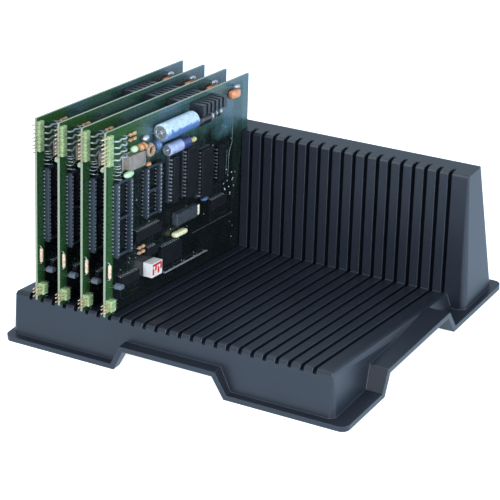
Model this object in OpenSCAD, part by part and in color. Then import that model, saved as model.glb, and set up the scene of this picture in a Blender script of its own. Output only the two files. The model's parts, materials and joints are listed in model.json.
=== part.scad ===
// Rack that holds printed circuit boards upright in a row of slots, with four loaded boards.
// Origin: centre of the whole part's footprint, at the surface that it stands on.
// +X runs along the row of slots, +Y to the back wall, +Z up.

/* [Slots] */
// Slots in the deck
deck_slots = 25; // [21:1:31]
// Slots that only the tower has, past the deck's last one
spare_slots = 1; // [1:1:2]
// Distance from one slot to the next
slot_pitch = 9; // [8:0.25:10]
// Width of a slot
slot_w = 2.8; // [2.4:0.1:3.2]
// Depth of the deck's grooves
groove_d = 4; // [3:0.25:5]
// Depth of the tower's grooves
tower_groove_d = 8; // [6:0.5:9]

/* [Deck] */
// Length of the deck from its front edge to the tower, along the slope
deck_l = 160.6; // [140:1:180]
// Slope of the deck, down towards the tower
tilt = 7.5; // [6:0.25:9]
// Height of the deck's front edge over the table
deck_front_h = 34; // [32:0.5:40]
// Deck left of the first slot
left_margin = 12.8; // [9:0.2:15]
// Deck right of the last slot
right_margin = 13.3; // [9:0.2:14]
// Radius of the deck's upper edges
deck_edge_r = 2.5; // [1.5:0.25:3.5]

/* [Tower] */
// Height of the tower over the deck, along its front face
tower_h = 85; // [70:1:100]
// Thickness of the tower at its top
tower_top_t = 19; // [17:0.5:24]
// How far the back face spreads outwards from top to foot
tower_back_run = 12.5; // [8:0.5:16]
// Tower past the outer slots, at its top
tower_margin = 13.8; // [12:0.2:16]
// How far each end of the tower spreads outwards from top to foot
tower_side_run = 3.6; // [2:0.2:6]
// Chamfer along the top of the ribs
rib_chamfer = 1.2; // [0.6:0.2:1.8]

/* [Shell] */
// Thickness of the moulded walls
wall = 2.1; // [1.8:0.1:2.4]
// How far the front skirt spreads outwards from the deck to the table
skirt_front_run = 5.5; // [3:0.5:8]
// How far the side skirts spread outwards from the deck to the table
skirt_side_run = 2.4; // [1:0.2:4]
// Corner radius of the skirt at the table
skirt_corner_r = 5; // [3:0.5:7]
// Corner radius of the skirt at the top
top_corner_r = 1.2; // [0.8:0.1:2]

/* [Flange] */
// Width of the flange in front of the skirt
flange_front = 5; // [4:0.5:8]
// Width of the flange behind the tower
flange_back = 6; // [4:0.5:8]
// Width of the flange beside the tower
flange_side = 4.6; // [3:0.2:7]
// How much narrower the flange is at each side of the front
flange_taper = 4; // [0:0.5:6]
// Thickness of the flange
flange_t = 3.6; // [3:0.2:5]
// Corner radius of the flange
flange_corner_r = 5.5; // [3:0.5:8]

/* [Arches] */
// Width of the front and back arches at the table
front_arch_w = 84; // [60:1:110]
// Width of the side arches at the table
side_arch_w = 96; // [70:1:110]
// Clear height of the front arch
front_arch_h = 15; // [10:0.5:17]
// Clear height of the side arches
side_arch_h = 14; // [10:0.5:15]
// Clear height of the back arch
back_arch_h = 15; // [10:0.5:20]
// How far each side of an arch leans in from the table to its top
arch_run = 8; // [5:0.5:12]
// Middle of the side arches behind the deck's front edge
side_arch_y = 87; // [75:1:95]

/* [Boards] */
// Boards in the rack
board_count = 4; // [1:1:4]
// Slot that holds the first board
first_slot = 2; // [1:1:4]
// Slots from one board to the next
board_step = 2; // [2:1:3]
// Thickness of a board
board_t = 1.6; // [1.2:0.2:2]
// Height of a board
board_h = 128.5; // [120:0.5:140]
// How far a board stands out past the deck's front edge
board_over = 5.9; // [4:0.5:10]
// Gap below and behind a seated board
seat_gap = 0.3; // [0.2:0.1:0.5]

/* [Parts on the boards] */
// Thickness of a chip's moulded body
chip_t = 3.4; // [3:0.2:4]
// Height of a chip's socket
socket_t = 3.6; // [3:0.2:4.4]
// Gap between a part that stands on its leads and the board
stand_off = 0.3; // [0.2:0.1:0.6]
// Diameter of the main capacitor
main_cap_d = 12; // [10:0.5:12.5]
// Length of the main capacitor
main_cap_l = 39; // [34:1:40]
// Spacing of header pins and chip leads
pin_pitch = 2.54; // [2.4:0.02:2.6]
// Thickness of a header pin
pin_t = 0.64; // [0.5:0.02:0.7]
// Pins in each row of the upper header
upper_pins = 8; // [4:1:8]
// Pins in each row of the lower header
lower_pins = 4; // [2:1:4]
// Length of a header pin ahead of its housing
pin_free = 6.5; // [4:0.5:8]

/* [Hidden] */
board_parts = ["laminate", "processor", "memory_chips", "logic_chips", "upper_header", "lower_header",
               "header_pins", "main_capacitor", "small_capacitors", "resistors", "dip_switch",
               "crystal_can", "regulator", "film_capacitors"];
round_fn = 48;
hull_fn = 32;
cut = 0.5;                                   // how far a cut runs past the face it opens
notch_d = 2.4;                               // pin-one notch of a chip
notch_depth = 0.6;
film_t = 5;                                  // boxed capacitors, out from the board
skin = 0.2;                                  // thickness of the slices that a hull spans

tower_slots = deck_slots + spare_slots;
deck_x0 = slot_x(1) - left_margin;
deck_x1 = slot_x(deck_slots) + right_margin;
tower_x = slot_x(tower_slots) + tower_margin;
plate_t = groove_d + wall;                   // deck plate under its grooves, groove and floor together
deck_back = [deck_l * cos(tilt), deck_front_h - deck_l * sin(tilt)];
tower_top_z = deck_back[1] + tower_h * cos(tilt);
tower_top_y = deck_back[0] + tower_h * sin(tilt);
tower_foot_y = deck_back[0] - deck_back[1] * tan(tilt);
tower_back_y = tower_top_y + tower_top_t;
foot_back_y = tower_back_y + tower_back_run;
foot_x = tower_x + tower_side_run;
flange_x = foot_x + flange_side;
flange_y0 = -skirt_front_run - flange_front;
flange_y1 = foot_back_y + flange_back;
rib_core_w = slot_pitch - slot_w - 2 * wall; // hollow inside each rib
board_l = board_over + deck_l + tower_groove_d - seat_gap;
upper_header_z = 106.2;                      // lower end of the upper header, up the board
lower_header_z = 8;                          // lower end of the lower header
header_t = 5.2;                              // housing of a header, out from the board
header_l = 5;                                // housing of a header, back from the board's front edge
header_row = 2.54;                           // between a header's two rows of pins
lowest_pin = seat_gap - groove_d + lower_header_z + (pin_pitch - pin_t) / 2;
pin_tip_y = lowest_pin * sin(tilt) - (board_over + pin_free) * cos(tilt);
origin_y = (flange_y1 + min(flange_y0, pin_tip_y)) / 2;

// Chips: centre along the board, centre up the board, size along, size up
processor_at = [10.3, 70, 13.8, 51];
memory_at = [[26.8, 79.5, 13.8, 34], [54.2, 79.5, 6.6, 32], [72.6, 79.5, 6.6, 32],
             [93.3, 79.5, 13.8, 34], [111.6, 74, 13.8, 34]];
logic_at = [[46, 50, 30, 6.6], [23.8, 23.8, 20.5, 6.4], [73.5, 26.8, 25, 13.4],
            [50.5, 35.5, 12, 5], [135, 74, 6.6, 25], [133, 46, 20, 6.6]];
// Main capacitor's near end and height up the board
main_cap_at = [53, 116.3];
// Lying capacitors: start along the board, height up the board, length, diameter
small_caps = [[64, 101.5, 25, 8], [100, 112.6, 15.5, 8.4], [120.5, 112.8, 8.5, 6.5]];
// Resistors that lie along the board: start along the board, height up the board, length, diameter
resistors_at = [[92, 99.6, 10, 3.6], [24, 121.5, 7, 2.4], [24, 118, 7, 2.4],
                [36, 37.5, 6.5, 2.4], [36, 41, 6.5, 2.4]];
switch_at = [44, 18.6];
switch_size = [12.3, 9.7];
switch_ways = 4;
can_at = [18, 99.2];
can_size = [18.5, 10];
// Regulator with its heat sink: start along the board, height up the board, size along, size up
regulator_at = [97.5, 117.6];
regulator_size = [30, 7.4];
// Boxed film capacitors and relay: start along the board, height up the board, size along, size up
film_blocks = [[146, 116.2, 11, 6], [77, 36, 14.5, 3.6], [77.5, 44.4, 27, 9]];

function slot_x(i) = (i - (tower_slots + 1) / 2) * slot_pitch;
function board_slot(i) = first_slot + (i - 1) * board_step;

// Frame on the deck: x along the row, y down the slope to the tower, z square to the deck
module on_deck() {
    translate([0, -origin_y, deck_front_h])
        rotate([-tilt, 0, 0])
            children();
}

// Frame on the table, with y counted from the deck's front edge
module on_table() {
    translate([0, -origin_y, 0])
        children();
}

// Frame on board i: x out from its face with the parts, y from its front edge, z from its lower edge
module on_board(i) {
    on_deck()
        translate([slot_x(board_slot(i)) + board_t / 2, -board_over, seat_gap - groove_d])
            children();
}

// Four thin discs at the corners of a block in plan, for a hull to join
module slice(x0, x1, y0, y1, r) {
    linear_extrude(skin)
        for (x = [x0 + r, x1 - r])
            for (y = [y0 + r, y1 - r])
                translate([x, y])
                    circle(r, $fn = hull_fn);
}

// Deck block, spreading out to the table; inset shrinks it on every side, drop lowers its top
module deck_block(inset, drop, edge_r) {
    r_top = max(top_corner_r - inset, 0.4);
    r_foot = max(skirt_corner_r - inset, 0.6);
    y_end = foot_back_y - wall - flange_back;
    hull() {
        on_table()
            translate([0, 0, inset > 0 ? -cut : 0])
                slice(deck_x0 - skirt_side_run + inset, deck_x1 + skirt_side_run - inset,
                      inset - skirt_front_run, y_end, r_foot);
        on_deck()
            for (a = [0, 45, 90])
                translate([0, 0, -drop - skin - edge_r * (1 - sin(a))])
                    slice(deck_x0 + inset + edge_r * (1 - cos(a)), deck_x1 - inset - edge_r * (1 - cos(a)),
                          inset + edge_r * (1 - cos(a)), deck_l + tower_groove_d + wall, r_top);
    }
}

// Tower block; front moves its front face back, inset shrinks its other sides, drop lowers its top
module tower_block(inset, front, drop) {
    lean = (tower_top_z - drop) * tan(tilt);
    hull() {
        on_table()
            translate([0, 0, inset > 0 ? -cut : 0])
                slice(inset - foot_x, foot_x - inset, tower_foot_y + front, foot_back_y - inset,
                      max(skirt_corner_r - inset, 0.6));
        on_table()
            translate([0, 0, tower_top_z - drop - skin])
                slice(inset - tower_x, tower_x - inset, tower_foot_y + lean + front, tower_back_y - inset,
                      max(top_corner_r - inset, 0.4));
    }
}

// Outline of an arch with its foot on the table, grown outwards by g
module arch_outline(w, h, g) {
    side = g * sqrt(arch_run * arch_run + h * h) / h;
    half_foot = w / 2 + side;
    half_top = w / 2 - arch_run + side - g * arch_run / h;
    polygon([[-half_foot, 0], [half_foot, 0], [half_top, h + g], [-half_top, h + g]]);
}

// Arch that runs along y from y0 to y1
module arch_along_y(w, h, g, y0, y1) {
    on_table()
        translate([0, y1, 0])
            rotate([90, 0, 0])
                linear_extrude(y1 - y0)
                    arch_outline(w, h, g);
}

// Arch that runs along x from x0 to x1
module arch_along_x(w, h, g, x0, x1) {
    on_table()
        translate([x0, side_arch_y, 0])
            rotate([90, 0, 90])
                linear_extrude(x1 - x0)
                    arch_outline(w, h, g);
}

// All arches, grown by g; their middle stretches are solid
module arches(g) {
    reach = 2 * (wall + flange_back + skirt_front_run);
    arch_along_y(front_arch_w, front_arch_h, g, flange_y0 - cut, flange_y0 + reach);
    arch_along_y(front_arch_w, back_arch_h, g, flange_y1 - reach, flange_y1 + cut);
    arch_along_x(side_arch_w, side_arch_h, g, -flange_x - cut, deck_x0 + 2 * wall);
    arch_along_x(side_arch_w, side_arch_h, g, deck_x1 - 2 * wall, flange_x + cut);
}

// Plan of the flange: narrower at the front, with round corners
module flange_plan(inset) {
    r = flange_corner_r - inset;
    hull() {
        for (s = [-1, 1]) {
            translate([s * (flange_x - flange_taper - inset - r), flange_y0 + inset + r])
                circle(r, $fn = hull_fn);
            translate([s * (flange_x - inset - r), flange_y1 - inset - r])
                circle(r, $fn = hull_fn);
        }
    }
}

// Flange: a flat ledge round the foot that climbs over each arch
module flange() {
    intersection() {
        on_table()
            linear_extrude(max(front_arch_h, side_arch_h, back_arch_h) + flange_t)
                flange_plan(0);
        union() {
            on_table()
                translate([-flange_x, flange_y0 - cut, 0])
                    cube([2 * flange_x, flange_y1 - flange_y0 + 2 * cut, flange_t]);
            arches(flange_t);
        }
    }
}

// Grooves in the deck, open at the front edge and at the tower
module deck_grooves() {
    for (i = [1:deck_slots])
        translate([slot_x(i) - slot_w / 2, -skirt_front_run, -groove_d])
            cube([slot_w, skirt_front_run + deck_l + tower_groove_d, groove_d + cut]);
}

// Grooves in the tower, open at its top, with a round bottom
module tower_grooves() {
    straight = tower_groove_d - slot_w / 2;
    for (i = [1:tower_slots])
        translate([slot_x(i), deck_l, i > deck_slots ? 0 : -groove_d]) {
            translate([-slot_w / 2, -cut, 0])
                cube([slot_w, straight + cut, tower_h + tower_top_t]);
            translate([0, straight, 0])
                cylinder(tower_h + tower_top_t, d = slot_w, $fn = hull_fn);
        }
}

// Hollows inside the ribs, so that every wall of the moulding is equally thick
module rib_cores() {
    for (i = [1:deck_slots - 1])
        translate([slot_x(i) + slot_w / 2 + wall, wall + deck_edge_r, -plate_t - cut])
            cube([rib_core_w, deck_l - 3 * wall - deck_edge_r, groove_d + cut]);
    for (i = [1:tower_slots - 1])
        translate([slot_x(i) + slot_w / 2 + wall, deck_l + wall, 0])
            cube([rib_core_w, tower_groove_d + cut, tower_h - 3 * wall]);
}

// Chamfer along the front of the tower's top edge
module top_chamfer() {
    on_table()
        translate([0, tower_top_y, tower_top_z])
            rotate([45 - tilt / 2, 0, 0])
                cube([3 * tower_x, rib_chamfer * 1.5, rib_chamfer * 1.5], center = true);
}

module rack_body() {
    color("#23262b")
        difference() {
            union() {
                deck_block(0, 0, deck_edge_r);
                tower_block(0, 0, 0);
                flange();
            }
            deck_block(wall, plate_t, 0);
            tower_block(wall, tower_groove_d + wall, wall);
            arches(0);
            on_deck() {
                deck_grooves();
                tower_grooves();
                rib_cores();
            }
            top_chamfer();
        }
}

// Box on a board from its near lower corner; size is along the board, up the board and out from it
module board_box(at, size) {
    translate([0, at[0], at[1]])
        cube([size[2], size[0], size[1]]);
}

// Round part that lies along the board, with a rolled groove near one end when it is a capacitor
module lying_can(at, length, d, groove) {
    translate([stand_off + d / 2, at[0], at[1]])
        rotate([-90, 0, 0])
            rotate_extrude($fn = round_fn)
                polygon(groove
                    ? [[0, 0], [d * 0.42, 0], [d / 2, d * 0.08], [d / 2, d * 0.16], [d * 0.45, d * 0.22],
                       [d / 2, d * 0.28], [d / 2, length - d * 0.06], [d * 0.44, length], [0, length]]
                    : [[0, 0], [d * 0.4, 0], [d / 2, d * 0.25], [d / 2, d * 0.7], [d * 0.42, d],
                       [d * 0.42, length - d], [d / 2, length - d * 0.7], [d / 2, length - d * 0.25],
                       [d * 0.4, length], [0, length]]);
}

// Moulded chip body over its socket, with a pin-one notch in its upper or front end
module chip(at, base) {
    along = at[2] > at[3];
    corner = [at[0] - at[2] / 2, at[1] - at[3] / 2];
    top = base + chip_t;
    difference() {
        translate([base, 0, 0])
            board_box(corner, [at[2], at[3], chip_t]);
        translate([top - notch_depth, along ? corner[0] : at[0], along ? at[1] : corner[1] + at[3]])
            rotate([0, 90, 0])
                cylinder(notch_depth + cut, d = notch_d, $fn = hull_fn);
    }
    if (base > stand_off)
        socket(at, base);
}

// Socket: a frame open in the middle, with a cross bar
module socket(at, t) {
    rim = 2.6;
    size = [at[2] + 1.4, at[3] + 0.6];
    corner = [at[0] - size[0] / 2, at[1] - size[1] / 2];
    bar = 3;
    difference() {
        board_box(corner, [size[0], size[1], t]);
        translate([-cut, corner[0] + rim, corner[1] + rim])
            cube([t + 2 * cut, size[0] - 2 * rim, size[1] / 2 - rim - bar / 2]);
        translate([-cut, corner[0] + rim, at[1] + bar / 2])
            cube([t + 2 * cut, size[0] - 2 * rim, size[1] / 2 - rim - bar / 2]);
    }
}

module laminate(i) {
    color("#3c6b3a")
        on_board(i)
            translate([-board_t, 0, 0])
                cube([board_t, board_l, board_h]);
}

module processor(i) {
    color("#1d1e20")
        on_board(i)
            chip(processor_at, socket_t);
}

module memory_chips(i) {
    color("#1d1e20")
        on_board(i)
            for (c = memory_at)
                chip(c, socket_t);
}

module logic_chips(i) {
    color("#202124")
        on_board(i)
            for (c = logic_at)
                chip(c, stand_off);
}

// Pins of one header, from inside the housing to their points; fit adds room round each pin
module pin_grid(z, count) {
    for (row = [0, 1])
        for (k = [0:count - 1])
            translate([header_t / 2 + (row - 0.5) * header_row - pin_t / 2, -pin_free,
                       z + (k + 0.5) * pin_pitch - pin_t / 2])
                cube([pin_t, pin_free + header_l - 1, pin_t]);
}

module header_housing(z, count) {
    difference() {
        board_box([0, z], [header_l, count * pin_pitch, header_t]);
        pin_grid(z, count);
        for (k = [1:count - 1])
            translate([header_t - 0.4, -cut, z + k * pin_pitch - 0.3])
                cube([1, header_l + 2 * cut, 0.6]);
    }
}

module upper_header(i) {
    color("#9fb45c")
        on_board(i)
            header_housing(upper_header_z, upper_pins);
}

module lower_header(i) {
    color("#9fb45c")
        on_board(i)
            header_housing(lower_header_z, lower_pins);
}

module header_pins(i) {
    color("#c9a25a")
        on_board(i) {
            pin_grid(upper_header_z, upper_pins);
            pin_grid(lower_header_z, lower_pins);
        }
}

module main_capacitor(i) {
    color("#5d8fd0")
        on_board(i)
            lying_can(main_cap_at, main_cap_l, main_cap_d, true);
}

module small_capacitors(i) {
    color("#9db7d6")
        on_board(i)
            for (c = small_caps)
                lying_can([c[0], c[1]], c[2], c[3], true);
}

module resistors(i) {
    color("#c08a5a")
        on_board(i)
            for (c = resistors_at)
                lying_can([c[0], c[1]], c[2], c[3], false);
}

module dip_switch(i) {
    lever = 1.4;
    color("#e8e6e0")
        on_board(i)
            difference() {
                board_box(switch_at, [switch_size[0], switch_size[1], 7]);
                for (k = [0:switch_ways - 1])
                    translate([6, switch_at[0] + (k + 0.5) * switch_size[0] / switch_ways - lever / 2,
                               switch_at[1] + switch_size[1] / 4])
                        cube([2, lever, switch_size[1] / 2]);
            }
}

module crystal_can(i) {
    color("#b9b4b0")
        on_board(i)
            translate([0, can_at[0] + 2, can_at[1] + 2])
                rotate([90, 0, 90])
                    linear_extrude(6)
                        hull()
                            for (y = [0, can_size[0] - 4])
                                for (z = [0, can_size[1] - 4])
                                    translate([y, z])
                                        circle(2, $fn = hull_fn);
}

module regulator(i) {
    fins = 5;
    gap = 2.4;
    color("#1b1c1e")
        on_board(i)
            difference() {
                board_box(regulator_at, [regulator_size[0], regulator_size[1], 11]);
                for (k = [1:fins])
                    translate([3, regulator_at[0] + k * regulator_size[0] / (fins + 1) - gap / 2,
                               regulator_at[1] - cut])
                        cube([10, gap, regulator_size[1] + 2 * cut]);
            }
}

module film_capacitors(i) {
    color("#d9b45a")
        on_board(i)
            for (b = film_blocks)
                board_box([b[0], b[1]], [b[2], b[3], film_t]);
}

rack_body();
for (i = [1:board_count]) {
    laminate(i);
    processor(i);
    memory_chips(i);
    logic_chips(i);
    upper_header(i);
    lower_header(i);
    header_pins(i);
    main_capacitor(i);
    small_capacitors(i);
    resistors(i);
    dip_switch(i);
    crystal_can(i);
    regulator(i);
    film_capacitors(i);
}
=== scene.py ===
import json
import math
import random

import bpy
from mathutils import Matrix, Vector


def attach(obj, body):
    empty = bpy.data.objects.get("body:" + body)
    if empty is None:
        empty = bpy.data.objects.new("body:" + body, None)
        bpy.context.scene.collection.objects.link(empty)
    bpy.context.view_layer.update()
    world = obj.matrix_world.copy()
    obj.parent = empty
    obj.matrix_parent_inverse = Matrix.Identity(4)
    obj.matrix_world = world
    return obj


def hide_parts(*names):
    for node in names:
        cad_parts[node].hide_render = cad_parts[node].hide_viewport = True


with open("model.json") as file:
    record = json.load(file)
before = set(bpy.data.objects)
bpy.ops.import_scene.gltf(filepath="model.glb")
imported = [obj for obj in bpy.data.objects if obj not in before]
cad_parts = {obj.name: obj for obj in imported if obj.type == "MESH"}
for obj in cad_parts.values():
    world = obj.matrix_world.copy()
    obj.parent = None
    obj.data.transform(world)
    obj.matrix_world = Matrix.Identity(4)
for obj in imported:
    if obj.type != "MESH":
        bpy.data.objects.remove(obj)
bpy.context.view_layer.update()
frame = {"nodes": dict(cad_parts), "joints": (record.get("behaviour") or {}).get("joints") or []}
nodes = frame["nodes"]
MM = 0.001

# ---------------------------------------------------------------------------
# Rack
# One injection moulding in carbon-filled, static-dissipative plastic. It comes
# out of the tool with a fine spark-eroded texture and softly rounded edges.


def coordinates(tree, scale=(1, 1, 1)):
    """Places a pattern on the piece's own coordinates."""
    source = tree.nodes.new("ShaderNodeTexCoord")
    mapping = tree.nodes.new("ShaderNodeMapping")
    mapping.inputs["Scale"].default_value = scale
    tree.links.new(source.outputs["Object"], mapping.inputs["Vector"])
    return mapping.outputs["Vector"]


def noise(tree, size, detail=2, stretch=(1, 1, 1)):
    """Noise whose grains are about one size, in metres."""
    node = tree.nodes.new("ShaderNodeTexNoise")
    node.inputs["Scale"].default_value = 1 / size
    node.inputs["Detail"].default_value = detail
    tree.links.new(coordinates(tree, stretch), node.inputs["Vector"])
    return node.outputs["Fac"]


def spread(tree, value, low, high):
    """Maps the middle of a noise onto a range."""
    node = tree.nodes.new("ShaderNodeMapRange")
    node.inputs["From Min"].default_value = 0.3
    node.inputs["From Max"].default_value = 0.7
    node.inputs["To Min"].default_value = low
    node.inputs["To Max"].default_value = high
    tree.links.new(value, node.inputs["Value"])
    return node.outputs["Result"]


def blend_colours(tree, mask, first, second):
    """Colour that goes from the first to the second with a mask; either may be a socket."""
    node = tree.nodes.new("ShaderNodeMix")
    node.data_type = "RGBA"
    tree.links.new(mask, node.inputs["Factor"])
    for socket, colour in (("A", first), ("B", second)):
        target = [s for s in node.inputs if s.name == socket and s.type == "RGBA"][0]
        if isinstance(colour, tuple):
            target.default_value = (*colour, 1)
        else:
            tree.links.new(colour, target)
    return [s for s in node.outputs if s.type == "RGBA"][0]


def between(tree, value, start, end):
    """Goes from 0 at the start to 1 at the end; the other way round where the start is larger."""
    node = tree.nodes.new("ShaderNodeMapRange")
    node.inputs["From Min"].default_value = start
    node.inputs["From Max"].default_value = end
    tree.links.new(value, node.inputs["Value"])
    return node.outputs["Result"]


def combine(tree, operation, first, second):
    """One arithmetic step between two sockets, or a socket and a number."""
    node = tree.nodes.new("ShaderNodeMath")
    node.operation = operation
    node.use_clamp = operation in ("MAXIMUM", "MULTIPLY")
    for socket, value in zip(node.inputs, (first, second)):
        if isinstance(value, (int, float)):
            socket.default_value = value
        else:
            tree.links.new(value, socket)
    return node.outputs["Value"]


def finish_of(name, colour, roughness, metallic=0.0, patch=0.02, vary=0.18, grain=0.0004, relief=0.02):
    """Principled surface with uneven colour and roughness, and a fine grain."""
    material = bpy.data.materials.new(name)
    material.use_nodes = True
    tree = material.node_tree
    shader = tree.nodes["Principled BSDF"]
    shader.inputs["Metallic"].default_value = metallic
    patches = noise(tree, patch, 3)
    dark = tuple(c * (1 - vary) for c in colour)
    light = tuple(min(c * (1 + vary), 1) for c in colour)
    tree.links.new(blend_colours(tree, spread(tree, patches, 0, 1), dark, light), shader.inputs["Base Color"])
    fine = noise(tree, grain, 2)
    tree.links.new(spread(tree, fine, roughness * 0.85, roughness * 1.15), shader.inputs["Roughness"])
    bump = tree.nodes.new("ShaderNodeBump")
    bump.inputs["Strength"].default_value = 0.35
    bump.inputs["Distance"].default_value = relief * MM
    tree.links.new(fine, bump.inputs["Height"])
    tree.links.new(bump.outputs["Normal"], shader.inputs["Normal"])
    return material


def overlay(material, mask, colour):
    """Lays another colour over a material's own, where a mask says."""
    tree = material.node_tree
    base = tree.nodes["Principled BSDF"].inputs["Base Color"]
    tree.links.new(blend_colours(tree, mask, base.links[0].from_socket, colour), base)


def rounded_edges(material, radius):
    """Softens the shading of sharp edges, as a tool's small radii do."""
    tree = material.node_tree
    bevel = tree.nodes.new("ShaderNodeBevel")
    bevel.samples = 6
    bevel.inputs["Radius"].default_value = radius
    bump = [n for n in tree.nodes if n.type == "BUMP"][0]
    tree.links.new(bevel.outputs["Normal"], bump.inputs["Normal"])


def wear(node, material):
    """Gives a CAD node's object a material in place of its plain one."""
    for slot in nodes[node].material_slots:
        slot.material = material


rack_black = (0.0098, 0.0130, 0.0210)
# Paler grey for the edges: wear and painted highlight
wear_and_highlight_grey = (0.060, 0.072, 0.088)
rack_plastic = finish_of("rack_plastic", rack_black, 0.38, patch=0.05, relief=0.035)
rounded_edges(rack_plastic, 0.7 * MM)


def edge_wear_and_highlight(material, wear_and_highlight_colour, share):
    """Paler plastic along the edges: partly painted highlight, partly wear where boards and hands have rubbed
    the texture smooth.
    """
    tree = material.node_tree
    bevel = [n for n in tree.nodes if n.type == "BEVEL"][0]
    geometry = tree.nodes.new("ShaderNodeNewGeometry")
    dot = tree.nodes.new("ShaderNodeVectorMath")
    dot.operation = "DOT_PRODUCT"
    tree.links.new(bevel.outputs["Normal"], dot.inputs[0])
    tree.links.new(geometry.outputs["Normal"], dot.inputs[1])
    turned = combine(tree, "MULTIPLY", between(tree, dot.outputs["Value"], 0.995, 0.85), share)
    patches = spread(tree, noise(tree, 0.004, 3), 0.2, 1)
    overlay(material, combine(tree, "MULTIPLY", turned, patches), wear_and_highlight_colour)


# The rack's edges are painted paler: partly wear, partly painted highlight on the edges
edge_wear_and_highlight(rack_plastic, wear_and_highlight_grey, 0.8)
wear("rack_body", rack_plastic)

# ---------------------------------------------------------------------------
# Laminates
# Glass-epoxy boards under green solder resist, sawn to size, so that their
# edges show the pale glass cloth. Copper tracks stand a little proud below
# the resist, and the plated holes have dull tinned rings.

slide = Vector(frame["joints"][0]["axis"])
along = -slide.normalized()
upward = Vector((1, 0, 0)).cross(along)
turn = Matrix((Vector((1, 0, 0)), along, upward)).transposed()
boards = range(1, 1 + sum(name.startswith("laminate_") for name in nodes))


def place_of(board):
    """Frame on a board: x out from its face with the parts, y from its front edge, z from its lower edge."""
    corners = [turn.inverted() @ v.co for v in nodes[f"laminate_{board}"].data.vertices]
    origin = Vector((max(c.x for c in corners), min(c.y for c in corners), min(c.z for c in corners)))
    return Matrix.Translation(turn @ origin) @ turn.to_4x4()


board_place = {board: place_of(board) for board in boards}


def wear_each(node, material):
    """Gives the same node of every board a material."""
    for board in boards:
        wear(f"{node}_{board}", material)


def solids(node):
    """Lowest and highest corner of each separate solid of board 1's node, in the board's frame."""
    mesh = nodes[node].data
    points = [tuple(round(c, 5) for c in v.co) for v in mesh.vertices]
    parent = {point: point for point in points}

    def root(point):
        while parent[point] != point:
            parent[point] = parent[parent[point]]
            point = parent[point]
        return point

    for polygon in mesh.polygons:
        first = root(points[polygon.vertices[0]])
        for index in polygon.vertices:
            parent[root(points[index])] = first
    to_board = board_place[1].inverted()
    groups = {}
    for point in parent:
        groups.setdefault(root(point), []).append(to_board @ Vector(point))
    found = []
    for group in groups.values():
        low = Vector([min(p[k] for p in group) for k in range(3)])
        high = Vector([max(p[k] for p in group) for k in range(3)])
        found.append((low, high))
    return sorted(found, key=lambda box: (round(box[0].y, 4), box[0].z))


laminate_low, laminate_high = solids("laminate_1")[0]
board_t = -laminate_low.x
board_l = laminate_high.y
board_h = laminate_high.z


def settle():
    """Leaves the object just made at the origin, with its place in its mesh."""
    bpy.ops.object.transform_apply(location=True, rotation=True, scale=True)
    return bpy.context.object


def rounded(piece, width, segments=2):
    """Bevels the edges of the piece just made."""
    edges = piece.modifiers.new("Edges", "BEVEL")
    edges.width = width
    edges.segments = segments
    bpy.ops.object.modifier_apply(modifier=edges.name)
    return piece


def brick(size, at, bevel=0.0):
    """Block from its lowest corner, with its edges rounded."""
    bpy.ops.object.select_all(action="DESELECT")
    bpy.ops.mesh.primitive_cube_add(size=1, location=Vector(at) + Vector(size) / 2, scale=size)
    block = settle()
    return rounded(block, bevel) if bevel else block


def carved(piece, cutter):
    """Cuts one block's shape out of a piece and removes the block."""
    cut = piece.modifiers.new("Cut", "BOOLEAN")
    cut.operation = "DIFFERENCE"
    cut.object = cutter
    bpy.ops.object.select_all(action="DESELECT")
    piece.select_set(True)
    bpy.context.view_layer.objects.active = piece
    bpy.ops.object.modifier_apply(modifier=cut.name)
    bpy.data.objects.remove(cutter)
    return piece


def in_row(piece, step, count):
    """Repeats a piece along a step."""
    bpy.ops.object.select_all(action="DESELECT")
    piece.select_set(True)
    bpy.context.view_layer.objects.active = piece
    row = piece.modifiers.new("Row", "ARRAY")
    row.use_relative_offset = False
    row.use_constant_offset = True
    row.constant_offset_displace = step
    row.count = max(count, 1)
    bpy.ops.object.modifier_apply(modifier=row.name)
    return piece


def joined(name, pieces, material, angle=35):
    """One object out of several, smooth up to an angle."""
    bpy.ops.object.select_all(action="DESELECT")
    for piece in pieces:
        piece.select_set(True)
    bpy.context.view_layer.objects.active = pieces[0]
    if len(pieces) > 1:
        bpy.ops.object.join()
    whole = bpy.context.object
    bpy.ops.object.shade_smooth_by_angle(angle=math.radians(angle))
    whole.name = name
    whole.data.materials.clear()
    whole.data.materials.append(material)
    return whole


def on_every_board(whole, stands_for=None):
    """Seats a copy of a finished piece on each board and removes the model it was copied from."""
    name = whole.name
    whole.name = name + "_model"
    for board in boards:
        copy = whole.copy()
        copy.data = whole.data.copy()
        copy.name = f"{name}_{board}"
        bpy.context.collection.objects.link(copy)
        copy.data.transform(board_place[board])
        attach(copy, f"board_{board}")
        if stands_for:
            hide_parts(f"{stands_for}_{board}")
    bpy.data.objects.remove(whole)


def wire(paths, thickness, name="wire", smooth=True):
    """Round wires through points; the ends stay where they are."""
    curve = bpy.data.curves.new(name, "CURVE")
    curve.dimensions = "3D"
    curve.bevel_depth = thickness / 2
    curve.bevel_resolution = 1
    curve.resolution_u = 4
    curve.use_fill_caps = True
    for path in paths:
        spline = curve.splines.new("BEZIER" if smooth else "POLY")
        points = spline.bezier_points if smooth else spline.points
        points.add(len(path) - 1)
        for point, place in zip(points, path):
            if smooth:
                point.co = place
                point.handle_left_type = "AUTO"
                point.handle_right_type = "AUTO"
            else:
                point.co = (*place, 1)
    made = bpy.data.objects.new(name, curve)
    bpy.context.collection.objects.link(made)
    bpy.ops.object.select_all(action="DESELECT")
    made.select_set(True)
    bpy.context.view_layer.objects.active = made
    bpy.ops.object.convert(target="MESH")
    return bpy.context.object


dark_resist = (0.0045, 0.0065, 0.0070)
lit_green = (0.026, 0.082, 0.024)
# Painted sheen colours: teal and blue reflected light on the resist
sheen_teal = (0.058, 0.118, 0.128)
sheen_blue = (0.048, 0.095, 0.165)
glass_cloth = (0.34, 0.38, 0.26)


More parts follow.
